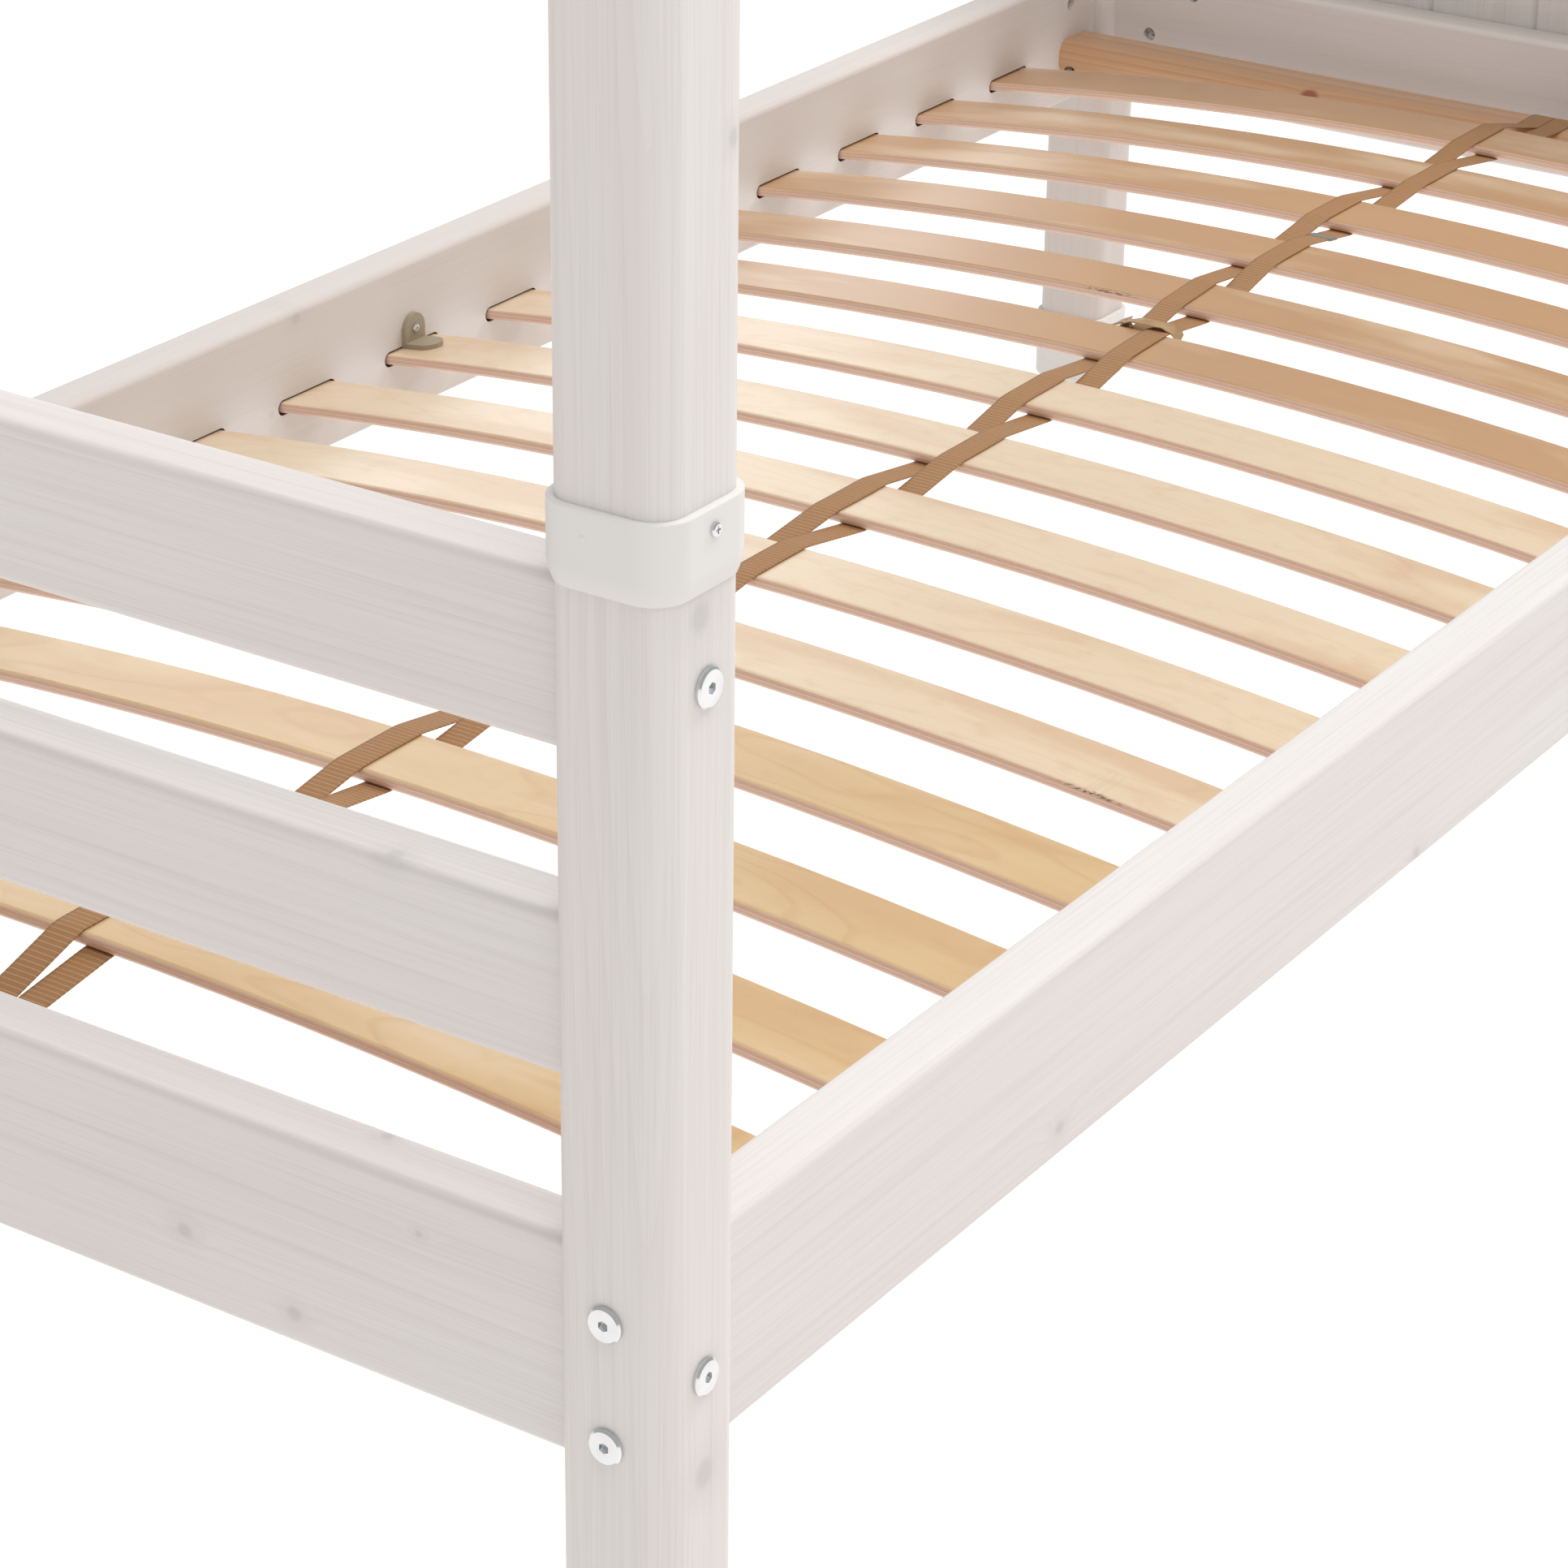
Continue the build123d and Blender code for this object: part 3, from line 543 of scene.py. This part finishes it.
def paint_boards():
    """Planks, rails and beams. The knots that show in the photograph are at their real places."""
    seen = {
        "foot_plank_bottom": [((-0.210, 0.325), 4.8 * MM), ((-0.277, 0.302), 4.6 * MM),
                              ((-0.354, 0.373), 2.2 * MM), ((-0.315, 0.398, -1.009), 4.0 * MM)],
        "foot_plank_middle": [((-0.342, 0.562, -1.030), 5.0 * MM)],
        "side_rail_near": [((-0.675, 0.302), 5.0 * MM), ((-0.261, 0.291), 5.0 * MM)],
        "side_rail_far": [((-0.229, 0.328), 6.0 * MM), ((-0.137, 0.392), 5.0 * MM),
                          ((-0.167, 0.329), 4.0 * MM)],
    }
    for i, end in enumerate(("foot", "head")):
        for j, level in enumerate(("bottom", "middle", "top")):
            node = f"{end}_plank_{level}"
            low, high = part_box(node)
            knots = seen.get(node, wild_knots(80 + 3 * i + j, low.y, high.y, low.z, high.z, 2))
            # The head planks are darkened: partly a deeper stain, partly painted shade.
            wear(node, stained_pine("pine_" + node, *ALONG_Y, seed=51 + 3 * i + j, knots=knots, deep_stain_and_shade=0.4 * i))
    long_boards = ("side_rail_near", "side_rail_far", "eaves_beam_near", "eaves_beam_far", "ridge_beam")
    for i, node in enumerate(long_boards):
        low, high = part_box(node)
        knots = seen.get(node, wild_knots(90 + i, low.x, high.x, low.z, high.z, 4))
        slots = node.startswith("side_rail")
        # The far rail is darkened: partly a deeper stain, partly painted shade.
        deep_stain_and_shade = 0.65 if node == "side_rail_far" else 0.0
        wear(node, stained_pine("pine_" + node, *ALONG_X, seed=71 + i, knots=knots, slots=slots, deep_stain_and_shade=deep_stain_and_shade))
    wear("head_panel", stained_pine("pine_head_panel", *UPRIGHT, seed=97,
                                    knots=wild_knots(98, 0.3, 0.7, -0.4, 0.4, 4)))


STREAKS = {4: -0.345, 10: 0.060}


def paint_slats():
    """The slats: gold in the third and fourth, pale in the middle of the bed and tan elsewhere. The pale of
    the middle slats is partly their veneer and partly painted sheen for the lacquer's reflection.
    """
    for i, name in enumerate(SLAT_NAMES):
        # The middle slats' pale face is partly painted sheen, in place of the lacquer's reflection of the
        # light.
        face = BIRCH_GOLD if i < 4 else BIRCH_PALE_AND_SHEEN if i < 9 else BIRCH_TAN
        streak = (slat_middles[i], STREAKS[i]) if i in STREAKS else None
        line_strength = 0.30 if face == BIRCH_GOLD else 0.10
        wear(name, birch_ply("birch_" + name, face, 3 + 2 * i, line_strength, streak_at=streak))


paint_posts()
paint_boards()
paint_slats()
white = white_plastic()
steel = zinc("zinc", (0.76, 0.78, 0.79), (0.70, 0.72, 0.73))
sunk_steel = zinc("sunk_zinc", (0.16, 0.13, 0.10), (0.10, 0.08, 0.06))
wood_pin = beech()
natural = bar_pine()
clip_beige = clip_plastic()
for corner in CORNERS:
    wear("collar_" + corner, white)
    wear("foot_cap_" + corner, white)
for fixing in ("rail_bolts", "plank_bolts", "barrel_nuts", "small_screws", "panel_screws"):
    wear(fixing, steel)
wear("bar_screws", sunk_steel)
for pin in ("dowels", "joint_pins"):
    wear(pin, wood_pin)
for bar in ("strap_bar_foot", "strap_bar_head"):
    wear(bar, natural)
wear("slat_clips", clip_beige)


# Surfaces from numpy grids


def grid_faces(index, capped=True):
    """Quads between the rows of a grid of point numbers that closes round its columns, and its two ends."""
    ahead = np.roll(index, -1, axis=1)
    quads = np.stack([index[:-1], ahead[:-1], ahead[1:], index[1:]], axis=-1)
    ends = [index[0, ::-1].tolist(), index[-1].tolist()] if capped else []
    return quads.reshape(-1, 4).tolist() + ends


def link_piece(name, points, faces, material):
    """A smooth mesh of one material, in the scene."""
    mesh = bpy.data.meshes.new(name)
    mesh.from_pydata(points, [], faces)
    mesh.polygons.foreach_set("use_smooth", [True] * len(mesh.polygons))
    mesh.materials.append(material)
    mesh.update()
    piece = bpy.data.objects.new(name, mesh)
    bpy.context.scene.collection.objects.link(piece)
    return piece


def sheet_mesh(name, grid, material, uv=None):
    """A closed piece from a grid of points, rows along the piece and columns round it."""
    rows, columns = grid.shape[:2]
    index = np.arange(rows * columns).reshape(rows, columns)
    piece = link_piece(name, grid.reshape(-1, 3).tolist(), grid_faces(index), material)
    if uv is not None:
        mesh = piece.data
        layer = mesh.uv_layers.new(name="weave")
        corner_points = np.empty(len(mesh.loops), dtype=np.int32)
        mesh.loops.foreach_get("vertex_index", corner_points)
        layer.data.foreach_set("uv", uv.reshape(-1, 2)[corner_points].astype(np.float32).ravel())
    return piece


def normals_of(line):
    """Unit normals of a line in x and z, upwards where the line runs towards the head."""
    slope = np.gradient(line, axis=0)
    slope /= np.linalg.norm(slope, axis=1, keepdims=True)
    return np.stack([-slope[:, 1], slope[:, 0]], axis=1)


def finish_piece(piece, slot, *replaced):
    """The piece rides on the bed and stands for the nodes that it replaces. Its slot is not used."""
    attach(piece, "root")
    if replaced:
        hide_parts(*replaced)


# Webbing straps

WEB_WIDTH = 19.6 * MM
WEB_THICKNESS = 1.3 * MM
WEB_APART = 19.9 * MM
STEP = 1.5 * MM
SECTION_POINTS = 9
BAR_CORNER = 13 * MM
# The straps' shared middle line, as the photograph shows it: places along the bed and across it.
MIDLINE_X = np.array([-0.98, -0.85, -0.61, -0.25, -0.12, 0.0, 0.11, 0.27, 0.48, 0.60, 0.72, 0.84, 0.98])
MIDLINE_Y = np.array([-10, -10, -5, -12, -16, -16, -12, -6, 4, 2, -3, -7, -6]) * MM


def midline(x):
    """The straps' middle line across the bed: a cosine blend from one known place to the next."""
    at = np.clip(np.searchsorted(MIDLINE_X, x) - 1, 0, len(MIDLINE_X) - 2)
    part = (x - MIDLINE_X[at]) / (MIDLINE_X[at + 1] - MIDLINE_X[at])
    ease = (1 - np.cos(pi * np.clip(part, 0, 1))) / 2
    return MIDLINE_Y[at] * (1 - ease) + MIDLINE_Y[at + 1] * ease


def slat_top(y):
    return bow_centre_z + sqrt(bow_radius ** 2 - y ** 2)


def bar_wrap(side):
    """The strap's line from a bar's inner top edge over its top, round its outer side and along below.

    The corners are quarter circles about the bar's own corner centres.
    """
    low, high = (bar_low, bar_high) if side > 0 else (foot_bar_low, foot_bar_high)
    middle = (low.x + high.x) / 2
    half = (high.x - low.x) / 2
    lift = WEB_THICKNESS / 2
    turns = np.linspace(pi / 2, -pi / 2, 25)
    centre_x = half - BAR_CORNER
    centre_z = np.where(turns > 0, high.z - BAR_CORNER, low.z + BAR_CORNER)
    arc_x = centre_x + (BAR_CORNER + lift) * np.cos(turns)
    arc_z = centre_z + (BAR_CORNER + lift) * np.sin(turns)
    start_x = [-half + BAR_CORNER * 0.8, -half + BAR_CORNER * 1.3]
    run_x = np.concatenate([start_x, arc_x, [centre_x - 14 * MM]])
    run_z = np.concatenate([[high.z + lift, high.z + lift], arc_z, [low.z - lift]])
    return np.stack([middle + side * run_x, run_z], axis=1)


def strap_line(over_odd, y_of):
    """The strap's middle line in x and z: over one slat, under the next, and round both bars."""
    points = [bar_wrap(-1)[::-1]]
    lift = WEB_THICKNESS / 2 + 0.15 * MM
    for i, x in enumerate(slat_middles):
        over = (i % 2 == 0) == over_odd
        top = slat_top(float(y_of(np.array([x]))[0]))
        level = top + lift if over else top - slat_thickness - lift
        half = slat_width / 2 - 1.5 * MM
        points.append(np.array([[x - half, level], [x + half, level]]))
    points.append(bar_wrap(1))
    line = np.concatenate(points)
    run = np.concatenate([[0], np.cumsum(np.hypot(*np.diff(line, axis=0).T))])
    places = np.arange(0, run[-1], STEP)
    fine = np.stack([np.interp(places, run, line[:, 0]), np.interp(places, run, line[:, 1])], axis=1)
    kernel = np.ones(5) / 5
    smooth = fine.copy()
    for k in range(2):
        smooth[2:-2, k] = np.convolve(fine[:, k], kernel, mode="valid")
    return places, smooth


def strap(name, over_odd, side, node, material):
    """A woven ribbon: a flat oval section carried along the strap's line, swollen a little at each rib."""
    places, line = strap_line(over_odd, lambda x: midline(x) + side * WEB_APART / 2)
    x, z = line[:, 0], line[:, 1]
    y = midline(x) + side * WEB_APART / 2
    normal = normals_of(line)
    flat = np.linspace(-1, 1, SECTION_POINTS)
    section_u = np.concatenate([flat, flat[::-1]])
    section_side = np.repeat([1.0, -1.0], SECTION_POINTS)
    edge = np.sqrt(1 - np.abs(section_u) ** 10 * 0.75)
    swell = 0.5 + 0.5 * np.cos(2 * pi * places / RIB_PITCH)
    thick = (WEB_THICKNESS / 2) * (0.82 + 0.18 * (1 - swell))
    width = WEB_WIDTH / 2 * (1 - 0.012 * swell)
    across = width[:, None] * section_u[None, :]
    lift = thick[:, None] * (section_side * edge)[None, :]
    grid = np.empty((len(x), 2 * SECTION_POINTS, 3))
    grid[..., 0] = x[:, None] + normal[:, 0:1] * lift
    grid[..., 1] = y[:, None] + across
    grid[..., 2] = z[:, None] + normal[:, 1:2] * lift
    uv = np.empty((len(x), 2 * SECTION_POINTS, 2))
    uv[..., 0] = across
    uv[..., 1] = places[:, None]
    piece = sheet_mesh(name, grid, material, uv=uv)
    finish_piece(piece, "webbing", node)
    return line, y


web = webbing()
strap("webbing_far", True, 1, "slat_strap_a", web)
near_run = strap("webbing_near", False, -1, "slat_strap_b", web)


# The turn of tape and the grey band on the straps


TAPE_BEHIND_SLAT = 1 * MM
TAPE_LENGTH = 17 * MM
TAPE_HALF_WIDTH = 21.5 * MM
TAPE_HALF_HEIGHT = 8.8 * MM
BAND_BEHIND_SLAT = 34 * MM
BAND_HALF_LENGTH = 6.2 * MM
BAND_COLUMNS = 32


def tape_turn():
    """A crumpled sleeve of tape round both straps behind the tenth slat, with one loose end.

    Its section is a flat ring that swells and dents with a few sine waves, carried along the bed.
    """
    start = slat_middles[9] + slat_width / 2 + TAPE_BEHIND_SLAT
    rows, columns = 9, 64
    s = np.linspace(0, 1, rows)[:, None]
    a = np.linspace(0, 2 * pi, columns, endpoint=False)[None, :]
    middle_y = float(midline(np.array([start]))[0])
    middle_z = slat_top(middle_y) - slat_thickness / 2
    crumple = 1 + 0.05 * np.sin(3 * a + 4 * s) + 0.035 * np.sin(7 * a - 6 * s) + 0.02 * np.sin(13 * a + 9 * s)
    half_width = TAPE_HALF_WIDTH * (1 - 0.04 * np.sin(2 * pi * s))
    half_height = TAPE_HALF_HEIGHT * (1 + 0.10 * np.sin(pi * s) - 0.25 * s)
    squared = np.abs(np.cos(a)) ** 0.75 * np.sign(np.cos(a))
    outer = np.empty((rows, columns, 3))
    outer[..., 0] = start + TAPE_LENGTH * s + 1.5 * MM * np.sin(2 * a + 1)
    outer[..., 1] = middle_y - half_width * crumple * squared
    outer[..., 2] = middle_z + half_height * crumple * np.sin(a)
    inner = outer[::-1].copy()
    inner[..., 1] = middle_y + (inner[..., 1] - middle_y) * 0.975
    inner[..., 2] = middle_z + (inner[..., 2] - middle_z) * 0.93
    index = np.arange(2 * rows * columns).reshape(2 * rows, columns)
    faces = grid_faces(np.concatenate([index, index[:1]]), capped=False)
    points = np.concatenate([outer, inner]).reshape(-1, 3).tolist()
    finish_piece(link_piece("tape_turn", points, faces, tape), "webbing")
    return middle_y, middle_z, start


def tape_end(middle_y, middle_z, start):
    """The tape's loose end: a pinched fin that leaves the sleeve on the far side and dips."""
    rows, columns = 12, 7
    s = np.linspace(0, 1, rows)[:, None]
    t = np.linspace(-1, 1, columns)[None, :]
    middle = np.empty((rows, columns, 3))
    middle[..., 0] = start + TAPE_LENGTH * (0.5 + 0.46 * t * (1 - 0.45 * s)) + 2 * MM * s
    middle[..., 1] = middle_y + 20 * MM + 17 * MM * s
    middle[..., 2] = middle_z + 3 * MM + 2.5 * MM * np.cos(2.2 * s) * t ** 2 - 6 * MM * s
    half = 0.35 * MM
    ring = np.concatenate([middle + [0, 0, half], (middle - [0, 0, half])[:, ::-1]], axis=1)
    piece = sheet_mesh("tape_end", ring, tape)
    finish_piece(piece, "webbing")


def band_on_strap():
    """A thin grey band round the near strap in the gap behind the twelfth slat."""
    line, y = near_run
    centre = slat_middles[11] + slat_width / 2 + BAND_BEHIND_SLAT
    rows = np.flatnonzero(np.abs(line[:, 0] - centre) < BAND_HALF_LENGTH)
    normal = normals_of(line)[rows]
    turn = np.linspace(0, 2 * pi, BAND_COLUMNS, endpoint=False)
    lift = (WEB_THICKNESS / 2 + 0.35 * MM) * np.clip(1.6 * np.sin(turn), -1, 1)
    across = (WEB_WIDTH / 2 + 0.4 * MM) * np.clip(1.25 * np.cos(turn), -1, 1)
    grid = np.empty((len(rows), BAND_COLUMNS, 3))
    grid[..., 0] = line[rows, 0:1] + normal[:, 0:1] * lift[None, :]
    grid[..., 1] = y[rows][:, None] - across[None, :]
    grid[..., 2] = line[rows, 1:2] + normal[:, 1:2] * lift[None, :]
    piece = sheet_mesh("grey_band", grid, grey_band())
    finish_piece(piece, "webbing")


tape = packing_tape()
tape_end(*tape_turn())
band_on_strap()


# Moulding pips on the collars


PIP_RADIUS = 1.7 * MM
PIP_HEIGHT = 0.5 * MM
PIP_SUNK = 0.1 * MM
PIP_ASIDE = 7 * MM
PIP_ABOVE = 25 * MM


def collar_pips():
    """One low round pip on the end face of each collar: a shallow dome, its first ring sunk a little."""
    points = []
    faces = []
    rings, columns = 5, 20
    a = np.linspace(0, 2 * pi, columns, endpoint=False)
    for corner in CORNERS:
        low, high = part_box("collar_" + corner)
        out = -1 if corner.startswith("foot") else 1
        face_x = low.x if out < 0 else high.x
        centre_y = (low.y + high.y) / 2 + PIP_ASIDE
        centre_z = low.z + PIP_ABOVE
        index = len(points) + np.arange(rings * columns).reshape(rings, columns)
        for k in range(rings):
            share = 1 - k / rings
            x = face_x + out * PIP_HEIGHT * (1 - share ** 2) - out * PIP_SUNK * (k == 0)
            ring_y = centre_y + out * PIP_RADIUS * share * np.cos(a)
            ring_z = centre_z + PIP_RADIUS * share * np.sin(a)
            points += np.stack([np.full(columns, x), ring_y, ring_z], axis=1).tolist()
        faces += grid_faces(index)
    finish_piece(link_piece("collar_pips", points, faces, white), "white_plastic")


collar_pips()


# Camera, floor and light

CAMERA_PLACE = (-2.4082, -1.4534, 1.4435)
CAMERA_YAW = radians(33.29)
CAMERA_PITCH = radians(-25.58)
CAMERA_ROLL = radians(0.74)
LENS = 101.45
FLOOR_HALF = 30.0
FLOOR_LEVEL = -0.0002
FLOOR_GLOW = 0.97
WORLD_STRENGTH = 0.48
# Each light's place, target, width, height and watts, and whether gloss shows it.
LIGHTS = {
    "key": ((-1.5, -2.2, 6.3), (-0.5, -0.1, 0.3), 4.4, 4.4, 200.0, False),
    "back": ((3.6, -1.2, 5.2), (-0.5, -0.1, 0.3), 3.0, 3.0, 235.0, False),
    "far_panel": ((5.2, 4.75, 2.75), (0.2, 0.1, 0.3), 2.6, 2.9, 26.0, True),
}


def aim_camera():
    """The camera looks along yaw and pitch and leans by roll. Its columns are right, up and backwards."""
    level = cos(CAMERA_PITCH)
    forward = Vector((cos(CAMERA_YAW) * level, sin(CAMERA_YAW) * level, sin(CAMERA_PITCH)))
    level_right = forward.cross(Vector((0, 0, 1))).normalized()
    level_up = level_right.cross(forward)
    right = level_right * cos(CAMERA_ROLL) + level_up * sin(CAMERA_ROLL)
    up = level_up * cos(CAMERA_ROLL) - level_right * sin(CAMERA_ROLL)
    turn = Matrix((right, up, -forward)).transposed().to_4x4()
    data = bpy.data.cameras.new("camera")
    data.lens = LENS
    data.sensor_width = 36.0
    data.clip_end = 200.0
    camera = bpy.data.objects.new("camera", data)
    camera.matrix_world = Matrix.Translation(CAMERA_PLACE) @ turn
    bpy.context.scene.collection.objects.link(camera)
    bpy.context.scene.camera = camera


def lay_floor():
    """A wide pale floor just under the feet."""
    paint = Paint("floor", roughness=0.9)
    paint.put("Base Color", (0.2, 0.2, 0.2, 1.0))
    paint.put("Emission Color", (1.0, 0.955, 0.93, 1.0))
    paint.put("Emission Strength", FLOOR_GLOW)
    sides = ((-1, -1), (1, -1), (1, 1), (-1, 1))
    corners = [(FLOOR_HALF * i, FLOOR_HALF * j, FLOOR_LEVEL) for i, j in sides]
    floor = link_piece("floor", corners, [(0, 1, 2, 3)], paint.material)
    floor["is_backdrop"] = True


def soft_box(name, place, target, width, height, power, seen_in_gloss):
    """A rectangular studio light, aimed at a point."""
    data = bpy.data.lights.new(name, "AREA")
    data.shape = "RECTANGLE"
    data.size = width
    data.size_y = height
    data.energy = power
    light = bpy.data.objects.new(name, data)
    turn = (Vector(target) - Vector(place)).to_track_quat("-Z", "Y")
    light.matrix_world = Matrix.Translation(place) @ turn.to_matrix().to_4x4()
    light.visible_camera = False
    light.visible_glossy = seen_in_gloss
    bpy.context.scene.collection.objects.link(light)


def world_light():
    """An even white world."""
    world = bpy.data.worlds.new("studio")
    world.use_nodes = True
    background = world.node_tree.nodes["Background"]
    background.inputs["Color"].default_value = (1.0, 1.0, 1.0, 1.0)
    background.inputs["Strength"].default_value = WORLD_STRENGTH
    bpy.context.scene.world = world


aim_camera()
lay_floor()
world_light()
for light_name, settings in LIGHTS.items():
    soft_box(light_name, *settings)
bpy.context.scene.view_settings.view_transform = "Standard"

{"cad": plain(cad_bounds), "visual": plain(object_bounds())}
